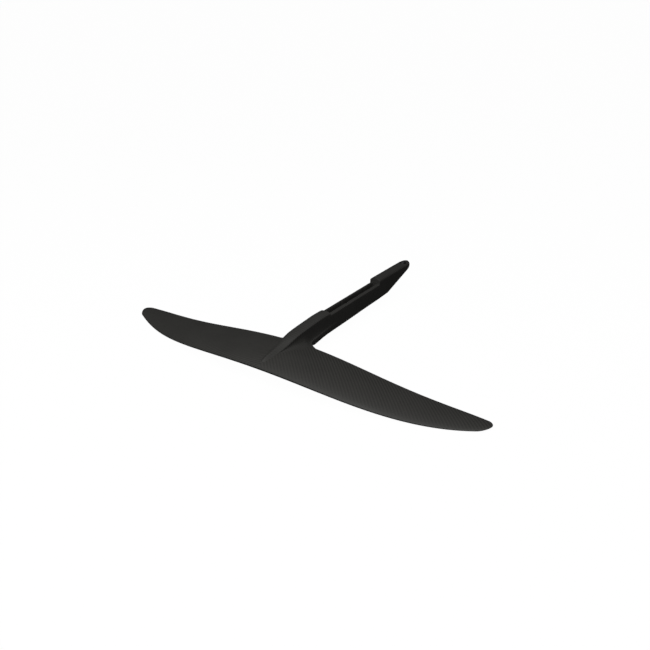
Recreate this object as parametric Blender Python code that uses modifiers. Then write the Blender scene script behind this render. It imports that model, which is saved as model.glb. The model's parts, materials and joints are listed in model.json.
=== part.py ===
"""Hydrofoil front wing with its fuselage boom, modelled as separate laminates, cores and inserts.

Axes: +X to one wing tip, +Y aft along the boom, +Z up. The world origin is the middle of the
channel floor that the mast sits on. The shapes are worked out in the wing's own frame, whose
origin is the leading edge at the root, and one empty moves them all to the world frame.
"""
import math

import bmesh
import bpy

# ---------------------------------------------------------------- driving sizes, in metres
SPAN = 0.830
ROOT_CHORD = 0.1257
LEADING_EDGE_SWEEP = (0.0487, 0.0623, -0.0238)    # setback at the tip from s^2, s^4 and s^6
TRAILING_EDGE_SWEEP = (-0.0341, 0.1114, -0.0895)  # the same for the trailing edge
DROOP = (-0.0801, 0.0556)                         # height at the tip from s^2 and s^4
ROOT_THICKNESS_RATIO = 0.125
TIP_THICKNESS_RATIO = 0.105
CAMBER_RATIO = 0.026
EDGE_THICKNESS = 0.0010
TIP_ROUNDING = 0.030            # spanwise length over which the outline closes at the tip
TIP_SHARE_FRONT = 0.70          # share of the tip's rounding taken from the leading edge
SOLID_TIP_LENGTH = 0.040

SKIN = 0.0012                   # wing laminate
EDGE_STRIP_START = 0.84         # chord fraction where the solid trailing edge strip begins
NOSE_FILL_LENGTH = 0.0075       # depth of the roving bead behind the leading edge
NOSE_FILL_START = 0.35          # share of that depth where the bead begins
SPAR_POSITION = 0.36            # chord fraction of the spar's centre line
SPAR_CAP = 0.0008
SPAR_CAP_WIDTH = (0.028, 0.008)  # at the root and at the tip
WEB = 0.0020
THINNEST_CORE = 0.0006          # half height below which foam is left out
THINNEST_WEB = 0.0004           # half height below which the spar is left out
ROOT_BLOCK_WIDTH = 0.048

BOOM_WIDTH = 0.026
FAIRING_START = 0.020           # the fairing's nose, behind the leading edge
SADDLE_START = 0.2194
SADDLE_LENGTH = 0.1956
TAIL_BLOCK_LENGTH = 0.151
BOOM_WALL = 0.0025
END_WALL = 2.5 * BOOM_WALL       # laminate left behind the tail block
NOSE_WIDTH = 0.16               # width of the fairing's nose, as a share of the boom's
FLARE_NOSE = 0.0030             # half width of the fillets at the fairing's nose
FRONT_CORE_START = 0.33         # share of the fairing over the wing that is solid laminate
WING_SLOT_REACH = 0.16          # spanwise share of the wing that the boom is cut out for
FLARE_WIDTH = 0.086             # across both fillets, at the wing's trailing edge
NOTCH_LENGTH = 0.032            # the fillets run out this far behind the trailing edge
FLARE_EDGE = 0.0006             # height of the fillet's outer edge over the wing skin
BOTTOM_CORNER = 0.0040
END_ROUNDING = 0.022            # length of the boom's rounded end, seen from above
SCARF_LENGTH = 0.1115
SCARF_SLOPE = 0.3063            # rise over run of the underside seat at the tail

# Boom heights in the wing's frame: (share of the stretch, height)
RIDGE_FRONT = ((0.0, 0.0104), (0.033, 0.0114), (0.122, 0.0149), (0.245, 0.0203), (0.40, 0.0260),
               (0.56, 0.0297), (0.73, 0.0325), (0.87, 0.0344), (1.0, 0.0345))
RIDGE_REAR = ((0.0, 0.0414), (0.70, 0.0411), (0.93, 0.0404), (1.0, 0.0390))
KEEL_FRONT = ((0.0, -0.0072), (0.10, -0.0088), (0.25, -0.0113), (0.45, -0.0147), (0.66, -0.0160),
              (0.85, -0.0138), (1.0, -0.0128))
KEEL_SADDLE = ((0.0, -0.0128), (0.42, -0.0106), (0.70, -0.0087), (1.0, -0.0074))
KEEL_REAR = -0.0054             # height where the scarf begins
DOME_FRONT = (0.0015, 0.0042)   # crown height over the shoulder, nose and saddle end
DOME_REAR = 0.0068

CHANNEL_WIDTH = 0.0124
CHANNEL_FLOOR = 0.0100
RAIL_HEIGHT = (0.0288, 0.0300)  # at the channel's edge, front and rear
RAIL_FALL = 0.0028              # from the channel's edge down to the boom's side

SCREW_HOLE = 0.0084             # clearance bore for an M8 screw
SCREW_HEAD = 0.0160
BUSH_WALL = 0.0018
FLANGE_WALL = 0.0008
FLANGE_RECESS = 0.0012
MAST_SCREW_SPACING = 0.091
MAST_SCREW_SHIFT = 0.0158       # the pair's middle, behind the channel's middle
TAIL_SCREW_INSET = 0.0266       # from the boom's rear end

GAP = 0.0003                    # glue line or fit between two touching pieces
STEP = 0.0004                   # least height of one face of a boom section
CLEAR = 0.02                    # reach of a cutter past what it cuts

# ---------------------------------------------------------------- values that follow
HALF_SPAN = SPAN / 2
SADDLE_END = SADDLE_START + SADDLE_LENGTH
BOOM_END = SADDLE_END + TAIL_BLOCK_LENGTH
SEAT_MIDDLE = (SADDLE_START + SADDLE_END) / 2
BOOM_HALF = BOOM_WIDTH / 2
SCARF_START = BOOM_END - SCARF_LENGTH
ROOT_BLOCK_END = ROOT_BLOCK_WIDTH / SPAN
SPAN_GAP = GAP / HALF_SPAN

SPAN_STATIONS = [0.0, ROOT_BLOCK_END] + [ROOT_BLOCK_END + 0.053 * i for i in range(1, 17)]
SKIN_FRACTIONS = (0.0, 0.006, 0.03, 0.08, 0.16, 0.27, 0.40, 0.55, 0.70, EDGE_STRIP_START)
STRIP_FRACTIONS = (0.90, 0.96, 1.0)

PARTS = None
CUTTERS = None
BASE = None


# ---------------------------------------------------------------- wing shape
def even_powers(terms, s):
    """Sum of terms[0]*s^2 + terms[1]*s^4 + ..."""
    return sum(term * s ** (2 * i + 2) for i, term in enumerate(terms))


def chord_line(s):
    """Leading edge y, trailing edge y and height of the chord line at spanwise share s."""
    s = abs(s)
    front = even_powers(LEADING_EDGE_SWEEP, s)
    back = ROOT_CHORD + even_powers(TRAILING_EDGE_SWEEP, s)
    rounding = TIP_ROUNDING / HALF_SPAN
    u = min(max(0.0, (s - 1 + rounding) / rounding), 0.996)
    closed = (back - front) * (1 - math.sqrt(1 - u * u))
    front += TIP_SHARE_FRONT * closed
    back -= (1 - TIP_SHARE_FRONT) * closed
    return front, back, even_powers(DROOP, s)


def half_thickness(c, s):
    """Half of the section's thickness at chord fraction c."""
    front, back, _ = chord_line(s)
    ratio = ROOT_THICKNESS_RATIO + (TIP_THICKNESS_RATIO - ROOT_THICKNESS_RATIO) * abs(s)
    shape = (0.2969 * math.sqrt(max(c, 0.0)) - 0.1260 * c - 0.3516 * c ** 2
             + 0.2843 * c ** 3 - 0.1036 * c ** 4)
    return 5 * ratio * (back - front) * shape + c * EDGE_THICKNESS / 2


def section_point(c, s, offset):
    """Point of the section at chord fraction c, offset upwards from the camber line."""
    front, back, height = chord_line(s)
    chord = back - front
    camber = CAMBER_RATIO * chord * 4 * c * (1 - c)
    return s * HALF_SPAN, front + c * chord, height + camber + offset


def inner_height(c, s):
    """Half height of the room inside the skins, less the glue gap."""
    return half_thickness(c, s) - SKIN - GAP


def stations(start, end):
    """Spanwise shares from start to end, through the common stations between them."""
    both = sorted(set([-s for s in SPAN_STATIONS] + SPAN_STATIONS))
    return [start] + [s for s in both if start + 0.004 < s < end - 0.004] + [end]


def shares(start, end, count):
    return [start + (end - start) * i / (count - 1) for i in range(count)]


# ---------------------------------------------------------------- boom shape
def smooth(points, t):
    """Monotone cubic through (position, value) points."""
    if t <= points[0][0]:
        return points[0][1]
    if t >= points[-1][0]:
        return points[-1][1]
    slopes = [(b[1] - a[1]) / (b[0] - a[0]) for a, b in zip(points, points[1:])]
    tangents = [slopes[0]]
    for before, after in zip(slopes, slopes[1:]):
        tangents.append(0.0 if before * after <= 0 else 2 * before * after / (before + after))
    tangents.append(slopes[-1])
    i = max(k for k in range(len(points) - 1) if points[k][0] <= t)
    width = points[i + 1][0] - points[i][0]
    u = (t - points[i][0]) / width
    return ((2 * u ** 3 - 3 * u ** 2 + 1) * points[i][1]
            + (u ** 3 - 2 * u ** 2 + u) * width * tangents[i]
            + (3 * u ** 2 - 2 * u ** 3) * points[i + 1][1]
            + (u ** 3 - u ** 2) * width * tangents[i + 1])


def front_share(y):
    return (y - FAIRING_START) / (SADDLE_START - FAIRING_START)


def saddle_share(y):
    return (y - SADDLE_START) / SADDLE_LENGTH


def crown(y):
    """Height of the boom's top on its centre line, before the saddle is cut."""
    if y <= SADDLE_START:
        return smooth(RIDGE_FRONT, front_share(y))
    if y >= SADDLE_END:
        return smooth(RIDGE_REAR, (y - SADDLE_END) / TAIL_BLOCK_LENGTH)
    return RIDGE_FRONT[-1][1] + (RIDGE_REAR[0][1] - RIDGE_FRONT[-1][1]) * saddle_share(y)


def dome(y):
    """Height of the crown over the shoulder."""
    nose, end = DOME_FRONT
    if y <= SADDLE_START:
        return nose + (end - nose) * front_share(y)
    return end + (DOME_REAR - end) * min(1.0, saddle_share(y))


def keel(y):
    """Height of the boom's underside on its centre line."""
    if y <= SADDLE_START:
        return smooth(KEEL_FRONT, front_share(y))
    if y <= SADDLE_END:
        return smooth(KEEL_SADDLE, saddle_share(y))
    if y <= SCARF_START:
        share = (y - SADDLE_END) / (SCARF_START - SADDLE_END)
        return KEEL_SADDLE[-1][1] + (KEEL_REAR - KEEL_SADDLE[-1][1]) * share
    return KEEL_REAR + (y - SCARF_START) * SCARF_SLOPE


def half_width(y):
    """Half width of the boom's upright sides; it narrows into the nose and the rear end."""
    if y > BOOM_END - END_ROUNDING:
        u = min((y - BOOM_END + END_ROUNDING) / END_ROUNDING, 0.985)
        return BOOM_HALF * math.sqrt(1 - u * u)
    u = min(1.0, max(0.0, (y - FAIRING_START) / (ROOT_CHORD - FAIRING_START)))
    return BOOM_HALF * (NOSE_WIDTH + (1 - NOSE_WIDTH) * u * (2 - u))


def flare_half(y):
    """Half width out to the fillet's outer edge."""
    if y <= ROOT_CHORD:
        share = (y - FAIRING_START) / (ROOT_CHORD - FAIRING_START)
        return FLARE_NOSE + (FLARE_WIDTH / 2 - FLARE_NOSE) * share
    if y < ROOT_CHORD + NOTCH_LENGTH:
        share = (y - ROOT_CHORD) / NOTCH_LENGTH
        return BOOM_HALF + (FLARE_WIDTH / 2 - BOOM_HALF) * (1 - share) ** 2
    return half_width(y)


def flare_edges(y):
    """Heights of the fillet's outer edge, above and below the wing."""
    x = flare_half(y)
    s = x / HALF_SPAN
    front, back, _ = chord_line(s)
    c = min(1.0, (y - front) / (back - front))
    half = half_thickness(c, s) + GAP + FLARE_EDGE
    top = section_point(c, s, half)[2]
    bottom = section_point(c, s, -half)[2]
    share = min(1.0, max(0.0, (y - ROOT_CHORD) / NOTCH_LENGTH))
    deep = keel(y) + BOTTOM_CORNER
    return top + (deep + 0.0010 - top) * share, bottom + (deep - bottom) * share


def arc(center, reach, start, turns):
    """Quarter of an ellipse with reach (rx, rz), from the angle start through turns, 4 steps."""
    angles = [math.radians(start + turns * i / 4) for i in range(5)]
    return [(center[0] + reach[0] * math.cos(a), center[1] + reach[1] * math.sin(a))
            for a in angles]


def half_outline(y):
    """Right half of the boom's section at y as (x, z) points, from the crown to the keel."""
    w = half_width(y)
    wide = flare_half(y)
    edge_top, edge_bottom = flare_edges(y)
    top = max(crown(y), edge_top + 3 * STEP)
    bottom = min(keel(y), edge_bottom - 3 * STEP)
    shoulder = max(top - dome(y), edge_top + STEP)
    low = min(bottom + BOTTOM_CORNER, edge_bottom - STEP)
    corner = min(BOTTOM_CORNER, 0.6 * w)
    crown_arc = arc((0.0, shoulder), (w, top - shoulder), 90, -90)
    upper_fillet = arc((wide, shoulder), (w - wide, edge_top - shoulder), 0, 90)
    lower_fillet = arc((wide, low), (w - wide, edge_bottom - low), 90, -90)
    keel_arc = arc((w - corner, low), (corner, low - bottom), 0, -90)
    return crown_arc + upper_fillet[1:] + lower_fillet[:-1] + keel_arc + [(0.0, bottom)]


def core_outline(y, inset):
    """Half outline of the boom's inside, inset from the crown, the sides and the keel."""
    w = max(half_width(y) - inset, 0.0008)
    top = crown(y) - inset
    shoulder = max(crown(y) - dome(y) - inset, keel(y) + inset + BOTTOM_CORNER)
    top = max(top, shoulder + 0.0003)
    corner = max(0.0004, min(BOTTOM_CORNER - inset, w / 2))
    low = keel(y) + inset
    crown_arc = arc((0.0, shoulder), (w, top - shoulder), 90, -90)
    keel_arc = arc((w - corner, low + corner), (corner, corner), 0, -90)
    return crown_arc + keel_arc + [(0.0, low)]


def half_ring(outline, y, side):
    """Ring of one half of a section, closed on the upright plane beside the centre line."""
    return [(side * max(x, GAP / 2), y, z) for x, z in outline]


def full_ring(outline, y):
    """Ring of a whole section from its right half."""
    right = [(x, y, z) for x, z in outline]
    left = [(-x, y, z) for x, z in reversed(outline) if x > 0]
    return right + left


# ---------------------------------------------------------------- objects
def material(name, colour, roughness, metallic=0.0):
    mat = bpy.data.materials.new(name)
    mat.use_nodes = True
    shader = mat.node_tree.nodes["Principled BSDF"]
    shader.inputs["Base Color"].default_value = (*colour, 1.0)
    shader.inputs["Roughness"].default_value = roughness
    shader.inputs["Metallic"].default_value = metallic
    mat.diffuse_color = (*colour, 1.0)
    return mat


def add_object(name, mesh, mat=None, smooth_angle=None):
    """Link a mesh as a part, or as a cutter where it has no material."""
    obj = bpy.data.objects.new(name, mesh)
    obj.parent = BASE
    if mat is None:
        CUTTERS.objects.link(obj)
        obj.hide_render = True
        obj.display_type = "WIRE"
        return obj
    PARTS.objects.link(obj)
    mesh.materials.append(mat)
    if smooth_angle is not None:
        mesh.shade_smooth()
        mesh.set_sharp_from_angle(angle=math.radians(smooth_angle))
    return obj


def loft(name, rings, mat=None, smooth_angle=35):
    """Closed solid through rings of equally many points, its two ends capped."""
    mesh = bpy.data.meshes.new(name)
    bm = bmesh.new()
    loops = [[bm.verts.new(point) for point in ring] for ring in rings]
    count = len(loops[0])
    for near, far in zip(loops, loops[1:]):
        for i in range(count):
            j = (i + 1) % count
            bm.faces.new((near[i], near[j], far[j], far[i]))
    bm.faces.new(loops[0])
    bm.faces.new(list(reversed(loops[-1])))
    bmesh.ops.recalc_face_normals(bm, faces=bm.faces)
    bmesh.ops.triangulate(bm, faces=bm.faces)
    bm.to_mesh(mesh)
    bm.free()
    return add_object(name, mesh, mat, smooth_angle)


def box(name, low, high):
    """Box cutter between two corners."""
    mesh = bpy.data.meshes.new(name)
    bm = bmesh.new()
    bmesh.ops.create_cube(bm, size=1.0)
    for vert in bm.verts:
        vert.co = [low[k] + (vert.co[k] + 0.5) * (high[k] - low[k]) for k in range(3)]
    bm.to_mesh(mesh)
    bm.free()
    return add_object(name, mesh)


def cylinder(name, radius, y, bottom, top):
    """Upright cylinder cutter on the boom's centre line."""
    mesh = bpy.data.meshes.new(name)
    bm = bmesh.new()
    bmesh.ops.create_cone(bm, cap_ends=True, segments=32, radius1=radius, radius2=radius,
                          depth=top - bottom)
    for vert in bm.verts:
        vert.co.y += y
        vert.co.z += (top + bottom) / 2
    bm.to_mesh(mesh)
    bm.free()
    return add_object(name, mesh)


def cut(obj, cutters):
    for cutter in cutters:
        modifier = obj.modifiers.new("cut " + cutter.name, "BOOLEAN")
        modifier.operation = "DIFFERENCE"
        modifier.solver = "EXACT"
        modifier.object = cutter


# ---------------------------------------------------------------- wing pieces
def share_with_room(c, room):
    """Spanwise share where the height inside the skins at chord fraction c falls to room."""
    near, far = 0.0, 1 - TIP_ROUNDING / HALF_SPAN
    if inner_height(c, far) >= room:
        return far
    for _ in range(40):
        middle = (near + far) / 2
        if inner_height(c, middle) >= room:
            near = middle
        else:
            far = middle
    return near


def fraction_with_room(s, room):
    """Rearmost chord fraction, ahead of the edge strip, with that height inside the skins."""
    near, far = SPAR_POSITION, EDGE_STRIP_START - chord_share(GAP, s)
    if inner_height(far, s) >= room:
        return far
    for _ in range(40):
        middle = (near + far) / 2
        if inner_height(middle, s) >= room:
            near = middle
        else:
            far = middle
    return near


def chord_share(length, s):
    front, back, _ = chord_line(s)
    return length / (back - front)


def tip_start():
    limit = share_with_room(SPAR_POSITION, 1.5 * THINNEST_CORE)
    return min(1 - SOLID_TIP_LENGTH / HALF_SPAN, limit)


def spar_end():
    limit = share_with_room(SPAR_POSITION, SPAR_CAP + GAP + THINNEST_WEB)
    return min(tip_start() - SPAN_GAP, limit)


def cap_edges(s):
    """Chord fractions of the spar cap's two edges."""
    width = SPAR_CAP_WIDTH[0] + (SPAR_CAP_WIDTH[1] - SPAR_CAP_WIDTH[0]) * abs(s)
    half = chord_share(width / 2, s)
    return SPAR_POSITION - half, SPAR_POSITION + half


def profile_ring(s, profile):
    """Ring from (chord fraction, half height) pairs, the same above and below."""
    upper = [section_point(c, s, h) for c, h in profile]
    lower = [section_point(c, s, -h) for c, h in reversed(profile)]
    return upper + lower


def foam_profile(s, start, end):
    """Half heights of a core from start to end, stepped down where it passes the spar cap."""
    front, rear = cap_edges(s)
    margin = chord_share(GAP, s)
    front -= margin
    rear += margin
    if start < front:
        points = shares(start, front, 5)
        profile = [(c, inner_height(c, s)) for c in points]
        profile += [(c, inner_height(c, s) - SPAR_CAP - GAP) for c in shares(front, end, 3)]
        return profile
    points = shares(start, rear, 3)
    profile = [(c, inner_height(c, s) - SPAR_CAP - GAP) for c in points]
    profile += [(c, inner_height(c, s)) for c in shares(rear, end, 5)]
    return profile


def make_skin(name, sign, mat):
    """One laminate, tip block to tip block, from the leading edge to the edge strip."""
    end = tip_start()
    rings = []
    for s in stations(-end, end):
        outer = [section_point(c, s, sign * max(half_thickness(c, s), GAP / 2 + 0.0002))
                 for c in SKIN_FRACTIONS]
        inner = [section_point(c, s, sign * max(half_thickness(c, s) - SKIN, GAP / 2))
                 for c in reversed(SKIN_FRACTIONS)]
        rings.append(outer + inner)
    loft(name, rings, mat)


def make_edge_strip(name, side, mat):
    """Solid strip behind the skins, the trailing edge itself."""
    rings = []
    for s in stations(GAP / 2 / HALF_SPAN, tip_start()):
        start = EDGE_STRIP_START + chord_share(GAP, s)
        profile = [(c, half_thickness(c, s)) for c in (start,) + STRIP_FRACTIONS]
        rings.append(profile_ring(side * s, profile))
    loft(name, rings, mat)


def make_tip(name, side, mat):
    """Solid end of the wing with its rounded outline."""
    fractions = SKIN_FRACTIONS + STRIP_FRACTIONS
    start = tip_start() + SPAN_GAP
    bend = 1 - TIP_ROUNDING / HALF_SPAN
    turns = [math.radians(90 * i / 8) for i in range(1, 9)]
    places = [start, (start + bend) / 2, bend] + [bend + (1 - bend) * math.sin(a) for a in turns]
    rings = []
    for s in places:
        profile = [(c, max(half_thickness(c, s), 0.0002)) for c in fractions]
        rings.append(profile_ring(side * s, profile))
    loft(name, rings, mat)


def make_spar_cap(name, sign, mat):
    """Unidirectional strip under one skin, from tip to tip."""
    rings = []
    for s in stations(-spar_end(), spar_end()):
        points = shares(*cap_edges(s), 5)
        outer = [section_point(c, s, sign * inner_height(c, s)) for c in points]
        inner = [section_point(c, s, sign * (inner_height(c, s) - SPAR_CAP))
                 for c in reversed(points)]
        rings.append(outer + inner)
    loft(name, rings, mat)


def make_web(name, side, mat):
    """Upright shear web between the caps, outboard of the root block."""
    rings = []
    for s in stations(ROOT_BLOCK_END + SPAN_GAP, spar_end()):
        half = chord_share(WEB / 2, s)
        profile = [(c, inner_height(c, s) - SPAR_CAP - GAP)
                   for c in (SPAR_POSITION - half, SPAR_POSITION + half)]
        rings.append(profile_ring(side * s, profile))
    loft(name, rings, mat)


def nose_end(s):
    """Chord fraction where the bead behind the leading edge stops."""
    return chord_share(NOSE_FILL_LENGTH, s)


def make_nose_fill(name, side, mat):
    """Bead of rovings that fills the wedge behind the leading edge."""
    rings = []
    for s in stations(GAP / 2 / HALF_SPAN, tip_start() - SPAN_GAP):
        start = NOSE_FILL_START * nose_end(s)
        while inner_height(start, s) < THINNEST_WEB / 2:
            start += 0.02 * nose_end(s)
        profile = [(c, inner_height(c, s)) for c in shares(start, nose_end(s), 3)]
        rings.append(profile_ring(side * s, profile))
    loft(name, rings, mat)


def make_foam(name, side, rear, mat):
    """Foam ahead of the web or behind it, outboard of the root block."""
    rings = []
    for s in stations(ROOT_BLOCK_END + SPAN_GAP, spar_end()):
        web = chord_share(WEB / 2 + GAP, s)
        if rear:
            start, end = SPAR_POSITION + web, fraction_with_room(s, THINNEST_CORE)
        else:
            start, end = nose_end(s) + chord_share(GAP, s), SPAR_POSITION - web
        rings.append(profile_ring(side * s, foam_profile(s, start, end)))
    loft(name, rings, mat, smooth_angle=20)


def make_root_block(name, mat):
    """Solid laminate inside the wing under the boom, between the two halves' foam."""
    rings = []
    for s in stations(-ROOT_BLOCK_END, ROOT_BLOCK_END):
        start = nose_end(s) + chord_share(GAP, s)
        end = fraction_with_room(s, THINNEST_CORE)
        front, rear = cap_edges(s)
        margin = chord_share(GAP, s)
        profile = [(c, inner_height(c, s)) for c in shares(start, front - margin, 5)]
        profile += [(c, inner_height(c, s) - SPAR_CAP - GAP)
                    for c in shares(front - margin, rear + margin, 4)]
        profile += [(c, inner_height(c, s)) for c in shares(rear + margin, end, 5)]
        rings.append(profile_ring(s, profile))
    loft(name, rings, mat, smooth_angle=20)


# ---------------------------------------------------------------- boom pieces
def boom_stations():
    """Places along the boom where its outer section is set."""
    front = [FAIRING_START + (ROOT_CHORD - FAIRING_START) * u
             for u in (0.0, 0.08, 0.2, 0.35, 0.5, 0.65, 0.8, 0.92, 1.0)]
    notch = [ROOT_CHORD + NOTCH_LENGTH * u for u in (0.1, 0.25, 0.45, 0.7, 1.0)]
    neck = [SADDLE_START - 0.030, SADDLE_START]
    saddle = [SADDLE_START + SADDLE_LENGTH * u for u in (0.33, 0.67, 1.0)]
    tail = [(SADDLE_END + SCARF_START) / 2, SCARF_START, SCARF_START + 0.35 * SCARF_LENGTH,
            SCARF_START + 0.65 * SCARF_LENGTH, BOOM_END - END_ROUNDING]
    turns = [math.radians(80 * i / 5) for i in range(1, 6)]
    end = [BOOM_END - END_ROUNDING * (1 - math.sin(a)) for a in turns]
    return front + notch + neck + saddle + tail + end


def places_between(start, end):
    return [start] + [y for y in boom_stations() if start + 0.002 < y < end - 0.002] + [end]


def core_loft(name, start, end, inset, mat=None):
    """Loft of the boom's inside between two places along it."""
    rings = [full_ring(core_outline(y, inset), y) for y in places_between(start, end)]
    return loft(name, rings, mat)


def wing_slot():
    """Room for the wing's root in the boom."""
    rings = []
    for s in stations(-WING_SLOT_REACH, WING_SLOT_REACH):
        behind = 1.0 + chord_share(GAP, s)
        fractions = SKIN_FRACTIONS + STRIP_FRACTIONS + (behind,)
        profile = [(c, max(half_thickness(c, s), 0.0) + GAP) for c in fractions]
        rings.append(profile_ring(s, profile))
    return loft("wing slot", rings)


def saddle_cutter():
    """Everything above the rails, whose tops fall away to the sides."""
    edge = CHANNEL_WIDTH / 2
    side = BOOM_WIDTH
    drop = RAIL_FALL * (side - edge) / (BOOM_HALF - edge)
    high = RIDGE_REAR[0][1] + CLEAR
    rings = []
    for y, rail in zip((SADDLE_START, SADDLE_END), RAIL_HEIGHT):
        outline = [(0.0, rail), (edge, rail), (side, rail - drop), (side, high), (0.0, high)]
        left = [(-x, y, z) for x, z in reversed(outline) if x > 0]
        rings.append([(x, y, z) for x, z in outline] + left)
    return loft("saddle recess", rings)


def channel_cutter():
    half = CHANNEL_WIDTH / 2
    return box("channel", (-half, SADDLE_START - 0.001, CHANNEL_FLOOR),
               (half, SADDLE_END + 0.001, RIDGE_REAR[0][1]))


def mast_screws():
    middle = SEAT_MIDDLE + MAST_SCREW_SHIFT
    return [middle - MAST_SCREW_SPACING / 2, middle + MAST_SCREW_SPACING / 2]


def tail_screw():
    return BOOM_END - TAIL_SCREW_INSET


def bush_profile(length):
    """Outline of a flanged, countersunk bush, flange on top, its outer side from the top down."""
    bore = SCREW_HOLE / 2
    outer = bore + BUSH_WALL
    head = SCREW_HEAD / 2
    flange = head + FLANGE_WALL
    sink = head - bore
    return [(flange, 0.0), (flange, -BUSH_WALL), (outer, -BUSH_WALL - (flange - outer)),
            (outer, -length), (bore, -length), (bore, -sink - 0.0004), (head, -0.0004),
            (head, 0.0)]


def make_bush(name, y, seat, length, flip, mat):
    """Turned bush whose flange face lies at height seat; flip puts the flange underneath."""
    mesh = bpy.data.meshes.new(name)
    bm = bmesh.new()
    points = bush_profile(length)
    verts = [bm.verts.new((r, 0.0, z)) for r, z in points]
    for i, vert in enumerate(verts):
        bm.edges.new((vert, verts[(i + 1) % len(verts)]))
    bm.to_mesh(mesh)
    bm.free()
    obj = add_object(name, mesh, mat)
    obj.location = (0.0, y, seat)
    if flip:
        obj.rotation_euler = (math.pi, 0.0, 0.0)
    screw = obj.modifiers.new("turn", "SCREW")
    screw.axis = "Z"
    screw.steps = 32
    screw.render_steps = 32
    screw.use_merge_vertices = True
    screw.merge_threshold = 0.00001
    return obj


def bush_room(name, y, seat, end, flip):
    """Cutters for a bush between its flange face and its plain end."""
    sign = -1 if flip else 1
    flange = SCREW_HEAD / 2 + FLANGE_WALL + GAP
    outer = SCREW_HOLE / 2 + BUSH_WALL + GAP
    seat_depth = BUSH_WALL + (flange - outer) + GAP
    far = seat + sign * CLEAR
    low, high = sorted((seat - sign * seat_depth, far))
    wide = cylinder(name + " flange room", flange, y, low, high)
    low, high = sorted((end - sign * GAP, far))
    narrow = cylinder(name + " body room", outer, y, low, high)
    return [wide, narrow]


def make_boom():
    carbon = material("boom laminate", (0.022, 0.022, 0.021), 0.42)
    solid = material("solid laminate", (0.030, 0.030, 0.032), 0.55)
    foam = material("boom foam", (0.62, 0.55, 0.44), 0.90)
    steel = material("stainless steel", (0.55, 0.56, 0.57), 0.30, 1.0)

    slot = wing_slot()
    saddle = saddle_cutter()
    channel = channel_cutter()
    nose = FAIRING_START + FRONT_CORE_START * (ROOT_CHORD - FAIRING_START)
    room = [("front room", nose, SADDLE_START - BOOM_WALL),
            ("saddle room", SADDLE_START, SADDLE_END),
            ("tail room", SADDLE_END + BOOM_WALL, BOOM_END - END_WALL)]
    rooms = [core_loft(name, start, end, BOOM_WALL) for name, start, end in room]

    holes = []
    for label, y in zip(("front", "rear"), mast_screws()):
        name = "mast_bush_" + label
        seat = keel(y) + FLANGE_RECESS
        make_bush(name, y, seat, CHANNEL_FLOOR - seat, True, steel)
        holes += bush_room(name, y, seat, CHANNEL_FLOOR, True)
    y = tail_screw()
    seat = crown(y) - FLANGE_RECESS
    end = keel(y) + SCARF_SLOPE * (SCREW_HOLE / 2 + BUSH_WALL) + STEP
    make_bush("tail_bush", y, seat, seat - end, False, steel)
    tail_holes = bush_room("tail_bush", y, seat, end, False)
    tail_holes.append(cylinder("tail screw way", SCREW_HOLE / 2, y, keel(y) - 0.01, seat))

    shells = (("fairing_shell_", FAIRING_START, SADDLE_START, [rooms[0], slot]),
              ("saddle_shell_", SADDLE_START + GAP, SADDLE_END - GAP, [rooms[1], saddle] + holes),
              ("tail_shell_", SADDLE_END, boom_stations()[-1], [rooms[2]] + tail_holes))
    for label, side in (("left", -1), ("right", 1)):
        for name, start, end, cutters in shells:
            rings = [half_ring(half_outline(y), y, side) for y in places_between(start, end)]
            cut(loft(name + label, rings, carbon), cutters)

    inset = BOOM_WALL + GAP
    core = core_loft("boom_front_core", nose + GAP, SADDLE_START - BOOM_WALL - GAP, inset, foam)
    cut(core, [slot])
    block = core_loft("saddle_block", SADDLE_START + GAP, SADDLE_END - GAP, inset, solid)
    cut(block, [saddle, channel] + holes)
    tail = core_loft("tail_block", SADDLE_END + BOOM_WALL + GAP,
                     BOOM_END - END_WALL - GAP, inset, solid)
    cut(tail, tail_holes)


def make_wing():
    carbon = material("wing laminate", (0.024, 0.024, 0.022), 0.45)
    caps = material("unidirectional carbon", (0.035, 0.035, 0.038), 0.50)
    solid = material("edge laminate", (0.020, 0.020, 0.019), 0.50)
    foam = material("wing foam", (0.66, 0.58, 0.46), 0.90)

    make_skin("wing_skin_upper", 1, carbon)
    make_skin("wing_skin_lower", -1, carbon)
    make_spar_cap("spar_cap_upper", 1, caps)
    make_spar_cap("spar_cap_lower", -1, caps)
    make_root_block("root_block", solid)
    for label, side in (("left", -1), ("right", 1)):
        make_edge_strip("trailing_edge_" + label, side, solid)
        make_tip("wing_tip_" + label, side, solid)
        make_web("shear_web_" + label, side, caps)
        make_nose_fill("nose_fill_" + label, side, caps)
        make_foam("core_front_" + label, side, False, foam)
        make_foam("core_rear_" + label, side, True, foam)


def collection(name):
    made = bpy.data.collections.new(name)
    bpy.context.scene.collection.children.link(made)
    return made


def main():
    global PARTS, CUTTERS, BASE
    for obj in list(bpy.data.objects):
        bpy.data.objects.remove(obj, do_unlink=True)
    PARTS = collection("Hydrofoil front wing")
    CUTTERS = collection("Cutters")
    BASE = bpy.data.objects.new("wing frame", None)
    BASE.location = (0.0, -SEAT_MIDDLE, -CHANNEL_FLOOR)
    PARTS.objects.link(BASE)
    make_wing()
    make_boom()


main()
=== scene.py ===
"""Hydrofoil front wing: smooth laminate surfaces, turned bushes, finishes, light and camera."""

import json
import math

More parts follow.
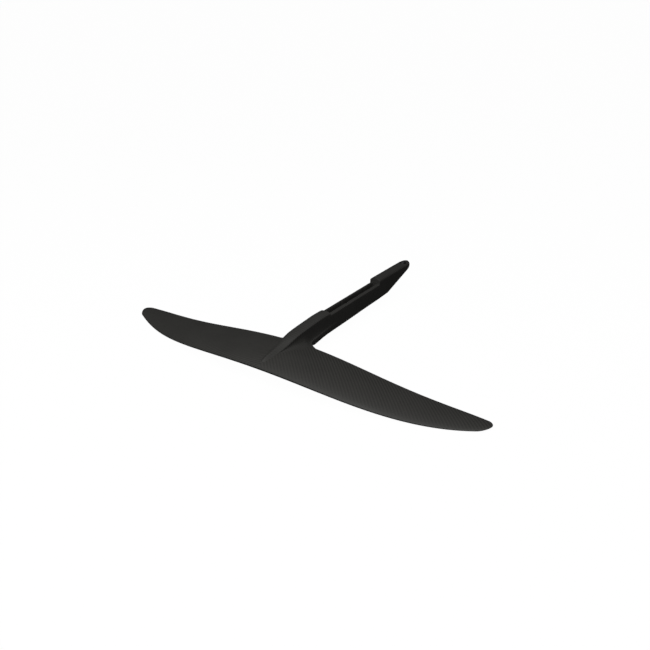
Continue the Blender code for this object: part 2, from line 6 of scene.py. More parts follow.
import bmesh
import bpy
from bpy.props import FloatProperty, FloatVectorProperty, PointerProperty
from bpy.types import Operator, Panel, PropertyGroup
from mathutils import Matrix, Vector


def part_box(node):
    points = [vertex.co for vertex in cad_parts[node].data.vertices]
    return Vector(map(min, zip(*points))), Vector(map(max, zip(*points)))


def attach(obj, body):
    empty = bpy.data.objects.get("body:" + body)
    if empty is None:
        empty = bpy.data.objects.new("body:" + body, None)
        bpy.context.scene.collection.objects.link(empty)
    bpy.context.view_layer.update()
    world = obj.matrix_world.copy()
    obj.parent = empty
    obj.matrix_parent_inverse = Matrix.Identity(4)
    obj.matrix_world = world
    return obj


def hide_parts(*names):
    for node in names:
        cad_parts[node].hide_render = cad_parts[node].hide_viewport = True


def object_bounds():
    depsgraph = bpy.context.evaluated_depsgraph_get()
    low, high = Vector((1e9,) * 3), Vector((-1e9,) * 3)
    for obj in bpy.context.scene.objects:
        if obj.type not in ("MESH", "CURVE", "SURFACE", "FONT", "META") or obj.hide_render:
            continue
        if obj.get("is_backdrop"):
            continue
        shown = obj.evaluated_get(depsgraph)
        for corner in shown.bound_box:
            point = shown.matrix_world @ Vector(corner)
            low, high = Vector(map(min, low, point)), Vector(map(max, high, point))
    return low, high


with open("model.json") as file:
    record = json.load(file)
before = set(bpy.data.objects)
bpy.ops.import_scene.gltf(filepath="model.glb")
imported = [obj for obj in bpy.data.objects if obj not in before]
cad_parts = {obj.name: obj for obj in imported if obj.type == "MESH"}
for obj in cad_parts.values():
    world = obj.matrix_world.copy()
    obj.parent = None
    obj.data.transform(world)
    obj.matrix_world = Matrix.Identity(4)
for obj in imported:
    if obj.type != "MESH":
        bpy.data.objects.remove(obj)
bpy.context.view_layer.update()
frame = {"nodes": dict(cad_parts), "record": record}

bl_info = {
    "name": "Hydrofoil Front Wing",
    "version": (1, 0, 0),
    "blender": (4, 5, 0),
    "location": "View3D > Sidebar > Front Wing",
    "description": "Builds the surfaces, fittings and finishes of a hydrofoil front wing",
    "category": "Object",
}

# ---------------------------------------------------------------- sizes, in metres
# The wing's own frame starts at the leading edge of the root; SHIFT takes it to the model's.
SKIN_LOW, SKIN_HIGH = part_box("wing_skin_upper")
FLOOR_HEIGHT = 0.0100           # of the mast channel over the root's chord line
SHIFT = (0.0, SKIN_LOW.y, -FLOOR_HEIGHT)
HALF_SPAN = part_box("wing_tip_right")[1].x
ROOT_CHORD = 0.1257
LEADING_EDGE_SWEEP = (0.0487, 0.0623, -0.0238)
TRAILING_EDGE_SWEEP = (-0.0341, 0.1114, -0.0895)
DROOP = (-0.0801, 0.0556)
THICKNESS_RATIO = (0.125, 0.105)
CAMBER_RATIO = 0.026
EDGE_THICKNESS = 0.0010
TIP_ROUNDING = (0.018, 0.011)    # spanwise length over which the front and the back close
TIP_SHARE_FRONT = 0.62

BLOCK_LOW, BLOCK_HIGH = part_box("saddle_block")
FIT = 0.0003
SADDLE_START = BLOCK_LOW.y - FIT - SHIFT[1]
SADDLE_END = BLOCK_HIGH.y + FIT - SHIFT[1]
BOOM_END = SADDLE_END + 0.15075
BOOM_HALF = 0.013
FAIRING_START = 0.014
NOSE_WIDTH = 0.42               # of the hump at its front end, as a share of the boom's
HUMP_END = 0.118                # where the soft hump has become a crown between two flanks
FLARE_HALF = 0.043
LEDGE = 0.0068                  # how far the ledge behind the fillet stands out of the side
HOLLOW = 0.78                   # below 1 the fillet hugs the boom and the wing more closely
NOTCH_END = ROOT_CHORD + 0.032
LEDGE_END = ROOT_CHORD + 0.122
BOTTOM_CORNER = 0.0040
END_ROUNDING = 0.022
SCARF_START = BOOM_END - 0.1115
SCARF_SLOPE = 0.3063
RIDGE_FRONT = ((0.0, 0.0078), (0.025, 0.0110), (0.065, 0.0134), (0.145, 0.0163), (0.255, 0.0203),
               (0.41, 0.0260), (0.566, 0.0297), (0.734, 0.0325), (0.872, 0.0344), (1.0, 0.0345))
RIDGE_REAR = ((0.0, 0.0414), (0.70, 0.0411), (0.93, 0.0404), (1.0, 0.0390))
KEEL_FRONT = ((0.0, -0.0040), (0.03, -0.0066), (0.114, -0.0088), (0.26, -0.0113),
              (0.46, -0.0147), (0.665, -0.0160), (0.852, -0.0138), (1.0, -0.0128))
KEEL_SADDLE = ((0.0, -0.0128), (0.42, -0.0106), (0.70, -0.0087), (1.0, -0.0074))
KEEL_REAR = -0.0054
DOME = (0.0015, 0.0050, 0.0068)  # crown over shoulder at the nose, the saddle and the rear block
CHANNEL_HALF = 0.0062
RAIL_HEIGHT = (0.0288, 0.0300)
RAIL_FALL = 0.0019
BITE_RADIUS = 0.0073            # reach of the spot face round a mast screw, over the channel's wall
SCREW_RADIUS = 0.0042
FLANGE_RADIUS = 0.0088
BUSH_RADIUS = 0.0060
BUSHES = ("mast_bush_front", "mast_bush_rear", "tail_bush")

CAMERA_PLACE = (0.73731, -0.84367, 0.62263)   # in the wing's own frame
CAMERA_TURN = (64.363, 0.0, 34.788)
CAMERA_LENS = 38.60


# ---------------------------------------------------------------- settings shown in the sidebar
class WingSettings(PropertyGroup):
    laminate: FloatVectorProperty(
        name="Laminate", description="Colour of the satin laminate", subtype="COLOR",
        size=4, min=0.0, max=1.0, default=(0.0150, 0.0145, 0.0130, 1.0))
    tow: FloatProperty(
        name="Tow width", description="Width of one tow in the woven outer ply", subtype="DISTANCE",
        unit="LENGTH", default=0.0020, min=0.0005, max=0.02)
    roughness: FloatProperty(
        name="Roughness", description="Mean roughness of the satin finish", subtype="FACTOR",
        default=0.62, min=0.0, max=1.0)


class BoomSettings(PropertyGroup):
    laminate: FloatVectorProperty(
        name="Laminate", description="Colour of the boom's laminate", subtype="COLOR",
        size=4, min=0.0, max=1.0, default=(0.0140, 0.0135, 0.0122, 1.0))
    rail_edge: FloatProperty(
        name="Rail edge", description="Rounding of the rails' inner edges", subtype="DISTANCE",
        unit="LENGTH", default=0.0006, min=0.0001, max=0.002)


class FittingSettings(PropertyGroup):
    steel: FloatVectorProperty(
        name="Blackened steel", description="Colour of the blackened bushes", subtype="COLOR",
        size=4, min=0.0, max=1.0, default=(0.014, 0.014, 0.0145, 1.0))
    edge: FloatProperty(
        name="Edge break", description="Broken edge on the turned bushes", subtype="DISTANCE",
        unit="LENGTH", default=0.0002, min=0.00005, max=0.001)


class StageSettings(PropertyGroup):
    key: FloatProperty(
        name="Overhead light", description="Power of the large light overhead", subtype="POWER",
        default=52.0, min=0.0, max=1000.0)
    fill: FloatProperty(
        name="Ambient light", description="Strength of the even light all round", default=0.065,
        min=0.0, max=10.0)
    drop: FloatProperty(
        name="Floor gap", description="Height of the object over the floor", subtype="DISTANCE",
        unit="LENGTH", default=0.0005, min=0.0, max=1.0)


# ---------------------------------------------------------------- shape helpers
def even_powers(terms, s):
    return sum(term * s ** (2 * i + 2) for i, term in enumerate(terms))


def tip_closure(s, length):
    """How far the outline has closed, over that length before the tip."""
    u = min(max(0.0, (s - 1) * HALF_SPAN / length + 1), 1.0)
    return 0.985 * (1 - math.sqrt(1 - u * u))


def chord_line(s):
    """Leading edge, trailing edge and height of the chord line at spanwise share s."""
    s = abs(s)
    front = even_powers(LEADING_EDGE_SWEEP, s)
    back = ROOT_CHORD + even_powers(TRAILING_EDGE_SWEEP, s)
    chord = back - front
    front += TIP_SHARE_FRONT * chord * tip_closure(s, TIP_ROUNDING[0])
    back -= (1 - TIP_SHARE_FRONT) * chord * tip_closure(s, TIP_ROUNDING[1])
    return front, back, even_powers(DROOP, s)


def half_thickness(c, s):
    front, back, _ = chord_line(s)
    ratio = THICKNESS_RATIO[0] + (THICKNESS_RATIO[1] - THICKNESS_RATIO[0]) * abs(s)
    shape = (0.2969 * math.sqrt(max(c, 0.0)) - 0.1260 * c - 0.3516 * c ** 2
             + 0.2843 * c ** 3 - 0.1036 * c ** 4)
    return 5 * ratio * (back - front) * shape + c * EDGE_THICKNESS / 2


def section_point(c, s, offset):
    front, back, height = chord_line(s)
    chord = back - front
    camber = CAMBER_RATIO * chord * 4 * c * (1 - c)
    return s * HALF_SPAN, front + c * chord, height + camber + offset


def smooth(points, t):
    """Monotone cubic through (position, value) points."""
    if t <= points[0][0]:
        return points[0][1]
    if t >= points[-1][0]:
        return points[-1][1]
    slopes = [(b[1] - a[1]) / (b[0] - a[0]) for a, b in zip(points, points[1:])]
    tangents = [slopes[0]]
    for before, after in zip(slopes, slopes[1:]):
        tangents.append(0.0 if before * after <= 0 else 2 * before * after / (before + after))
    tangents.append(slopes[-1])
    i = max(k for k in range(len(points) - 1) if points[k][0] <= t)
    width = points[i + 1][0] - points[i][0]
    u = (t - points[i][0]) / width
    return ((2 * u ** 3 - 3 * u ** 2 + 1) * points[i][1]
            + (u ** 3 - 2 * u ** 2 + u) * width * tangents[i]
            + (3 * u ** 2 - 2 * u ** 3) * points[i + 1][1]
            + (u ** 3 - u ** 2) * width * tangents[i + 1])


def mix(a, b, t):
    return a + (b - a) * t


def ease(t):
    t = min(1.0, max(0.0, t))
    return t * t * (3 - 2 * t)


def shares(count):
    return [i / count for i in range(count + 1)]


def moved(point):
    return tuple(a + b for a, b in zip(point, SHIFT))


def skin_mesh(name, rings, smooth_angle):
    """Closed surface through rings of equally many points, in the wing's own frame."""
    mesh = bpy.data.meshes.new(name)
    bm = bmesh.new()
    loops = [[bm.verts.new(moved(point)) for point in ring] for ring in rings]
    count = len(loops[0])
    for near, far in zip(loops, loops[1:]):
        for i in range(count):
            j = (i + 1) % count
            bm.faces.new((near[i], near[j], far[j], far[i]))
    bm.faces.new(loops[0])
    bm.faces.new(list(reversed(loops[-1])))
    bmesh.ops.recalc_face_normals(bm, faces=bm.faces)
    bm.to_mesh(mesh)
    bm.free()
    mesh.shade_smooth()
    mesh.set_sharp_from_angle(angle=math.radians(smooth_angle))
    obj = bpy.data.objects.new(name, mesh)
    bpy.context.scene.collection.objects.link(obj)
    return obj


def dress(obj, mat):
    obj.data.materials.clear()
    obj.data.materials.append(mat)


# ---------------------------------------------------------------- wing surface
def wing_rings():
    """Sections from tip to tip, close together where the outline turns."""
    bend = 1 - TIP_ROUNDING[0] / HALF_SPAN
    inner = [bend * i / 110 for i in range(111)]
    outer = [bend + (1 - bend) * math.sin(math.radians(90 * i / 26)) for i in range(1, 27)]
    right = inner + outer
    fractions = [0.5 * (1 - math.cos(math.pi * i / 46)) for i in range(47)]
    inset = 0.96
    rings = []
    for s in [-s for s in reversed(right[1:])] + right:
        upper = [section_point(c, s, half_thickness(c, s)) for c in reversed(fractions)]
        lower = [section_point(c, s, -inset * half_thickness(c, s)) for c in fractions[1:]]
        rings.append(upper + lower)
    return rings


# ---------------------------------------------------------------- boom surface
def front_share(y):
    return (y - FAIRING_START) / (SADDLE_START - FAIRING_START)


def saddle_share(y):
    return (y - SADDLE_START) / (SADDLE_END - SADDLE_START)


def crown(y):
    if y <= SADDLE_START:
        return smooth(RIDGE_FRONT, front_share(y))
    if y >= SADDLE_END:
        return smooth(RIDGE_REAR, (y - SADDLE_END) / (BOOM_END - SADDLE_END))
    return mix(RIDGE_FRONT[-1][1], RIDGE_REAR[0][1], saddle_share(y))


def dome(y):
    if y <= SADDLE_START:
        return mix(DOME[0], DOME[1], front_share(y))
    return mix(DOME[1], DOME[2], min(1.0, saddle_share(y)))


def keel(y):
    if y <= SADDLE_START:
        return smooth(KEEL_FRONT, front_share(y))
    if y <= SADDLE_END:
        return smooth(KEEL_SADDLE, saddle_share(y))
    if y <= SCARF_START:
        return mix(KEEL_SADDLE[-1][1], KEEL_REAR, (y - SADDLE_END) / (SCARF_START - SADDLE_END))
    return KEEL_REAR + (y - SCARF_START) * SCARF_SLOPE


def half_width(y):
    if y > BOOM_END - END_ROUNDING:
        u = min((y - BOOM_END + END_ROUNDING) / END_ROUNDING, 0.995)
        return BOOM_HALF * math.sqrt(1 - u * u)
    u = min(1.0, max(0.0, (y - FAIRING_START) / (ROOT_CHORD - FAIRING_START)))
    return BOOM_HALF * (NOSE_WIDTH + (1 - NOSE_WIDTH) * u * (2 - u))


def flare_half(y):
    """Half width out to the fillet's edge, then to the ledge that it runs out in."""
    if y <= ROOT_CHORD:
        return mix(0.0075, FLARE_HALF, (y - FAIRING_START) / (ROOT_CHORD - FAIRING_START))
    notch = max(0.0, 1 - (y - ROOT_CHORD) / (NOTCH_END - ROOT_CHORD))
    ledge = max(0.0, 1 - (y - ROOT_CHORD) / (LEDGE_END - ROOT_CHORD))
    return half_width(y) + (FLARE_HALF - BOOM_HALF - LEDGE) * notch ** 3 + LEDGE * ledge ** 1.2


def flare_edges(y):
    """Heights of the flare's outer edge: its upper and its lower side."""
    low = keel(y) + BOTTOM_CORNER
    if y <= ROOT_CHORD:
        s = flare_half(y) / HALF_SPAN
        front, back, _ = chord_line(s)
        c = min(1.0, (y - front) / (back - front))
        half = half_thickness(c, s) - 0.0002
        return section_point(c, s, half)[2], section_point(c, s, -half)[2]
    edge = section_point(1.0, FLARE_HALF / HALF_SPAN, 0.0)[2]
    run = ease((y - ROOT_CHORD) / (LEDGE_END - ROOT_CHORD))
    drop = ease((y - ROOT_CHORD) / (NOTCH_END - ROOT_CHORD))
    upper = mix(edge + EDGE_THICKNESS / 2 - 0.0002, 0.0040, run)
    return max(upper, low + 0.0006), mix(edge - EDGE_THICKNESS / 2 + 0.0002, low, drop)


def rail_height(y):
    return mix(RAIL_HEIGHT[0], RAIL_HEIGHT[1], min(1.0, max(0.0, saddle_share(y))))


# Sideways places of the crown's points, as shares of the half width; the channel's points
# have the same order, so the block's end faces close without a fold.
CROWN_SHARES = (0.0, 0.11, 0.22, 0.33, 0.42, 0.44, 0.452, 0.462, 0.472, 0.482, 0.492, 0.502,
                0.515, 0.53, 0.58, 0.64, 0.70, 0.76, 0.82, 0.87, 0.91, 0.945, 0.97, 0.985, 0.996, 1.0)


def crown_points(y, lowered):
    """The domed top from the centre line to the shoulder, lowered for a rounded end edge."""
    w = half_width(y)
    edge_top, _ = flare_edges(y)
    top = max(crown(y), edge_top + 0.0002)
    soft = 1 - ease((y - FAIRING_START) / (HUMP_END - FAIRING_START))
    shoulder = mix(max(top - dome(y), edge_top + 0.0001), edge_top + 0.0001, soft)
    return [(w * share, shoulder - lowered + (top - shoulder)
             * mix(math.sqrt(1 - share * share), 0.5 + 0.5 * math.cos(math.pi * share), soft))
            for share in CROWN_SHARES]


def channel_half(y):
    """Half width of the channel, with the round bites at the mast screws."""
    half = CHANNEL_HALF
    for screw in mast_screws():
        reach = BITE_RADIUS ** 2 - (y - screw) ** 2
        if reach > 0:
            half = max(half, math.sqrt(reach))
    return half


def saddle_points(y, edge):
    """Channel floor, wall, rounded edge, sloping rail and rounded outer edge."""
    half = channel_half(y)
    rail = rail_height(y) - RAIL_FALL * (half - CHANNEL_HALF) / (BOOM_HALF - CHANNEL_HALF)
    outer = rail_height(y) - RAIL_FALL
    foot = 0.0008
    brim = 0.0011
    points = [((half - foot) * share, FLOOR_HEIGHT) for share in shares(4)]
    for angle in (-60, -30, 0):
        a = math.radians(angle)
        points.append((half - foot + foot * math.cos(a), FLOOR_HEIGHT + foot + foot * math.sin(a)))
    points.append((half, mix(FLOOR_HEIGHT, rail, 0.6)))
    for angle in (180, 150, 120, 90):
        a = math.radians(angle)
        points.append((half + edge + edge * math.cos(a), rail - edge + edge * math.sin(a)))
    start, end = points[-1], (BOOM_HALF - brim, outer + 0.0002)
    points += [(mix(start[0], end[0], t), mix(start[1], end[1], t)) for t in shares(9)[1:]]
    for angle in (68, 45, 22, 0):
        a = math.radians(angle)
        points.append((BOOM_HALF - brim + brim * math.cos(a),
                       outer + 0.0002 - brim + brim * math.sin(a)))
    return points


def side_points(y, start):
    """From the shoulder down the side, over the flare or ledge, round the keel to the middle."""
    w = half_width(y)
    wide = flare_half(y)
    edge_top, edge_low = flare_edges(y)
    bottom = min(keel(y), edge_low - 0.0002)
    low = min(bottom + BOTTOM_CORNER, edge_low - 0.0001)
    corner = min(BOTTOM_CORNER, 0.6 * w)
    points = []
    for t in shares(16)[1:]:
        a = math.radians(90 * t)
        points.append((wide - (wide - w) * math.cos(a) ** HOLLOW,
                       start - (start - edge_top) * math.sin(a) ** HOLLOW))
    middle, reach = (edge_top + edge_low) / 2, (edge_top - edge_low) / 2
    round_out = min(0.0006, reach) * min(1.0, (wide - w) / 0.001)
    for t in shares(6)[1:]:
        a = math.radians(90 - 180 * t)
        points.append((wide + round_out * (math.cos(a)), middle + reach * math.sin(a)))
    for t in shares(8)[1:]:
        a = math.radians(90 * t)
        points.append((wide - (wide - w) * math.sin(a), low + (edge_low - low) * math.cos(a)))
    for t in shares(8)[1:]:
        a = math.radians(90 * t)
        points.append((w - corner + corner * math.cos(a), low - (low - bottom) * math.sin(a)))
    points += [((w - corner) * (1 - t), bottom) for t in shares(4)[1:]]
    return points


def boom_ring(y, style, edge, lowered=0.0):
    """Whole section of the boom at y; style is "dome" or "saddle"."""
    top = saddle_points(y, edge) if style == "saddle" else crown_points(y, lowered)
    right = top + side_points(y, top[-1][1])
    full = right + [(-x, z) for x, z in reversed(right[1:-1])]
    return [(x, y, z) for x, z in full]


def mast_screws():
    places = []
    for name in BUSHES[:2]:
        low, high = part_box(name)
        places.append((low.y + high.y) / 2 - SHIFT[1])
    return places


def boom_rings(edge):
    """All sections from the fairing's nose to the rounded rear end."""
    turn = 0.0009
    lip = 0.00004
    rings = []
    for t in shares(84):
        rings.append((mix(FAIRING_START, ROOT_CHORD, t ** 1.25), "dome", 0.0))
    for t in shares(40)[1:]:
        rings.append((mix(ROOT_CHORD, NOTCH_END, t), "dome", 0.0))
    for t in shares(30)[1:]:
        rings.append((mix(NOTCH_END, SADDLE_START - turn, t), "dome", 0.0))
    for t in shares(5)[1:]:
        a = math.radians(90 * t)
        rings.append((SADDLE_START - turn + turn * math.sin(a), "dome", turn * (1 - math.cos(a))))
    for t in shares(196):
        rings.append((mix(SADDLE_START + lip, SADDLE_END - lip, t), "saddle", 0.0))
    for t in shares(5)[:-1]:
        a = math.radians(90 * (1 - t))
        rings.append((SADDLE_END + turn - turn * math.sin(a), "dome", turn * (1 - math.cos(a))))
    for t in shares(24):
        rings.append((mix(SADDLE_END + turn, SCARF_START, t), "dome", 0.0))
    for t in shares(36)[1:]:
        rings.append((mix(SCARF_START, BOOM_END - END_ROUNDING, t), "dome", 0.0))
    for t in shares(18)[1:]:
        a = math.radians(84.3 * t)
        soft = 0.0030 * (1 - math.cos(a)) ** 2
        rings.append((BOOM_END - END_ROUNDING * (1 - math.sin(a)), "dome", soft))
    return [boom_ring(y, style, edge, lowered) for y, style, lowered in rings]


def cylinder_cutter(name, radius, y, low, high):
    mesh = bpy.data.meshes.new(name)
    bm = bmesh.new()
    bmesh.ops.create_cone(bm, cap_ends=True, segments=64, radius1=radius, radius2=radius,
                          depth=high - low)
    for vert in bm.verts:
        vert.co.y += y
        vert.co.z += (low + high) / 2
    bm.to_mesh(mesh)
    bm.free()
    obj = bpy.data.objects.new(name, mesh)
    bpy.context.scene.collection.objects.link(obj)
    return obj


def drill(obj, cutters):
    """Cuts every hole, applies the result and removes the cutters."""
    for cutter in cutters:
        modifier = obj.modifiers.new("hole", "BOOLEAN")
        modifier.operation = "DIFFERENCE"
        modifier.solver = "EXACT"
        modifier.object = cutter
    depsgraph = bpy.context.evaluated_depsgraph_get()
    mesh = bpy.data.meshes.new_from_object(obj.evaluated_get(depsgraph))
    obj.modifiers.clear()
    obj.data = mesh
    for cutter in cutters:
        bpy.data.objects.remove(cutter, do_unlink=True)
    mesh.shade_smooth()
    mesh.set_sharp_from_angle(angle=math.radians(38))


def hole_cutters():
    cutters = []
    for name in BUSHES:
        low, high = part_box(name)
        y = (low.y + high.y) / 2
        on_top = name == "tail_bush"
        face = high.z if on_top else low.z
        flange = (face - 0.0025, face + 0.02) if on_top else (face - 0.02, face + 0.0025)
        cutters.append(cylinder_cutter(name + " seat", FLANGE_RADIUS + FIT, y, *flange))
        cutters.append(cylinder_cutter(name + " way", BUSH_RADIUS + FIT, y,
                                       low.z - 0.02, high.z + 0.02))
    return cutters


# ---------------------------------------------------------------- node helpers
def new_group(name, inputs, outputs):
    """Empty node group with named inputs (name, type, default) and outputs (name, type)."""
    group = bpy.data.node_groups.new(name, "ShaderNodeTree")
    for label, kind, value in inputs:
        socket = group.interface.new_socket(label, in_out="INPUT", socket_type=kind)
        socket.default_value = value
    for label, kind in outputs:
        group.interface.new_socket(label, in_out="OUTPUT", socket_type=kind)
    return group, group.nodes.new("NodeGroupInput"), group.nodes.new("NodeGroupOutput")


def feed(tree, value, socket):
    if isinstance(value, bpy.types.NodeSocket):
        tree.links.new(value, socket)
    else:
        socket.default_value = value


def maths(tree, operation, *values):
    node = tree.nodes.new("ShaderNodeMath")
    node.operation = operation
    for value, socket in zip(values, node.inputs):
        feed(tree, value, socket)
    return node.outputs[0]


def blend_colour(tree, factor, a, b, blend="MIX"):
    node = tree.nodes.new("ShaderNodeMix")
    node.data_type = "RGBA"
    node.blend_type = blend
    feed(tree, factor, node.inputs["Factor"])
    feed(tree, a, node.inputs[6])
    feed(tree, b, node.inputs[7])
    return node.outputs[2]


def spread(tree, value, low, high, to_low, to_high):
    node = tree.nodes.new("ShaderNodeMapRange")
    for item, socket in zip((value, low, high, to_low, to_high), node.inputs):
        feed(tree, item, socket)
    return node.outputs[0]


def noise(tree, vector, scale, detail=2.0, roughness=0.5):
    node = tree.nodes.new("ShaderNodeTexNoise")
    feed(tree, vector, node.inputs["Vector"])
    feed(tree, scale, node.inputs["Scale"])
    node.inputs["Detail"].default_value = detail
    node.inputs["Roughness"].default_value = roughness
    return node.outputs["Fac"]


def stretched(tree, vector, scale):
    node = tree.nodes.new("ShaderNodeVectorMath")
    node.operation = "MULTIPLY"
    feed(tree, vector, node.inputs[0])
    feed(tree, scale, node.inputs[1])
    return node.outputs[0]


def weave_group():
    """Twill cloth seen from above: tows across and along, their crimp and their fine fibres."""
    group, start, end = new_group(
        "Twill weave",
        [("Vector", "NodeSocketVector", (0, 0, 0)), ("Tow Width", "NodeSocketFloat", 0.003)],
        [("Tow", "NodeSocketFloat"), ("Fibre", "NodeSocketFloat"), ("Height", "NodeSocketFloat")])
    vector, tow = start.outputs[0], start.outputs[1]
    split = group.nodes.new("ShaderNodeSeparateXYZ")
    feed(group, vector, split.inputs[0])
    across = maths(group, "DIVIDE", split.outputs["X"], tow)
    along = maths(group, "DIVIDE", split.outputs["Y"], tow)
    column, row = maths(group, "FLOOR", across), maths(group, "FLOOR", along)
    step = maths(group, "FLOORED_MODULO", maths(group, "SUBTRACT", column, row), 4.0)
    warp = maths(group, "LESS_THAN", step, 1.5)
    inside_x, inside_y = maths(group, "FRACT", across), maths(group, "FRACT", along)
    crest = [maths(group, "SINE", maths(group, "MULTIPLY", share, math.pi))
             for share in (inside_x, inside_y)]
    height = maths(group, "ADD", maths(group, "MULTIPLY", warp, crest[0]),
                   maths(group, "MULTIPLY", maths(group, "SUBTRACT", 1.0, warp), crest[1]))
    lines = [noise(group, stretched(group, vector, scale), 1.0, 2.0)
             for scale in ((4200.0, 160.0, 160.0), (160.0, 4200.0, 160.0))]
    fibre = maths(group, "ADD", maths(group, "MULTIPLY", warp, lines[0]),
                  maths(group, "MULTIPLY", maths(group, "SUBTRACT", 1.0, warp), lines[1]))
    for value, socket in zip((warp, fibre, height), end.inputs):
        feed(group, value, socket)
    return group


def handling_group():
    """Soft unevenness of a wiped satin finish, and the sparse scuffs that handling leaves."""
    group, start, end = new_group(
        "Handling marks",
        [("Vector", "NodeSocketVector", (0, 0, 0)), ("Scale", "NodeSocketFloat", 1.0)],
        [("Bloom", "NodeSocketFloat"), ("Scuff", "NodeSocketFloat")])
    vector, scale = start.outputs[0], start.outputs[1]
    bloom = noise(group, vector, maths(group, "MULTIPLY", scale, 14.0), 3.0, 0.55)
    streaks = noise(group, stretched(group, vector, (900.0, 60.0, 240.0)), scale, 3.0, 0.6)
    patch = noise(group, vector, maths(group, "MULTIPLY", scale, 38.0), 1.0)
    scuff = maths(group, "MULTIPLY", spread(group, streaks, 0.60, 0.74, 0.0, 1.0),
                  spread(group, patch, 0.56, 0.70, 0.0, 1.0))
    feed(group, bloom, end.inputs[0])
    feed(group, scuff, end.inputs[1])
    return group


def edge_wear_group():
    """Sharp outer edges, where the finish is rubbed thin."""
    group, start, end = new_group(
        "Edge wear",
        [("Vector", "NodeSocketVector", (0, 0, 0)), ("Amount", "NodeSocketFloat", 0.5)],
        [("Mask", "NodeSocketFloat")])
    vector, amount = start.outputs[0], start.outputs[1]
    geometry = group.nodes.new("ShaderNodeNewGeometry")
    sharp = spread(group, geometry.outputs["Pointiness"], 0.53, 0.62, 0.0, 1.0)
    broken = spread(group, noise(group, vector, 320.0, 3.0), 0.35, 0.65, 0.2, 1.0)
    feed(group, maths(group, "MULTIPLY", maths(group, "MULTIPLY", sharp, broken), amount),
         end.inputs[0])
    return group


def node_group(name, build):
    return bpy.data.node_groups.get(name) or build()


def place_group(tree, group, **values):
    node = tree.nodes.new("ShaderNodeGroup")
    node.node_tree = group
    for label, value in values.items():
        feed(tree, value, node.inputs[label.replace("_", " ")])
    return node.outputs


def new_material(name):
    mat = bpy.data.materials.new(name)
    mat.use_nodes = True
    tree = mat.node_tree
    shader = tree.nodes["Principled BSDF"]
    place = tree.nodes.new("ShaderNodeTexCoord").outputs["Object"]
    return mat, tree, shader, place


def bump(tree, height, strength, distance, shader):
    node = tree.nodes.new("ShaderNodeBump")
    node.inputs["Strength"].default_value = strength
    node.inputs["Distance"].default_value = distance
    feed(tree, height, node.inputs["Height"])
    tree.links.new(node.outputs["Normal"], shader.inputs["Normal"])


def shade(colour, factor):
    return tuple(channel * factor for channel in colour[:3]) + (1.0,)


def laid_cloth(tree, place):
    """Place on the cloth, which lies flat on the top and turns down over the sides and ends."""
    geometry = tree.nodes.new("ShaderNodeNewGeometry")
    facing = tree.nodes.new("ShaderNodeSeparateXYZ")
    feed(tree, geometry.outputs["Normal"], facing.inputs[0])
    at = tree.nodes.new("ShaderNodeSeparateXYZ")
    feed(tree, place, at.inputs[0])
    cloth = tree.nodes.new("ShaderNodeCombineXYZ")
    for i in range(2):
        upright = maths(tree, "GREATER_THAN", maths(tree, "ABSOLUTE", facing.outputs[i]), 0.72)
        flat = maths(tree, "MULTIPLY", at.outputs[i], maths(tree, "SUBTRACT", 1.0, upright))
        turned = maths(tree, "MULTIPLY", at.outputs[2], upright)
        feed(tree, maths(tree, "ADD", flat, turned), cloth.inputs[i])
    return cloth.outputs[0]


def painted_edge_shade(tree):
    """Painted shade: a dark matt strip on the faces that turn from the top to the bottom, along the
    wing's edges.
    """
    geometry = tree.nodes.new("ShaderNodeNewGeometry")
    split = tree.nodes.new("ShaderNodeSeparateXYZ")
    feed(tree, geometry.outputs["Normal"], split.inputs[0])
    return maths(tree, "MULTIPLY", spread(tree, split.outputs["Z"], -0.75, -0.45, 0.0, 1.0),
                 spread(tree, split.outputs["Z"], 0.30, 0.60, 1.0, 0.0))


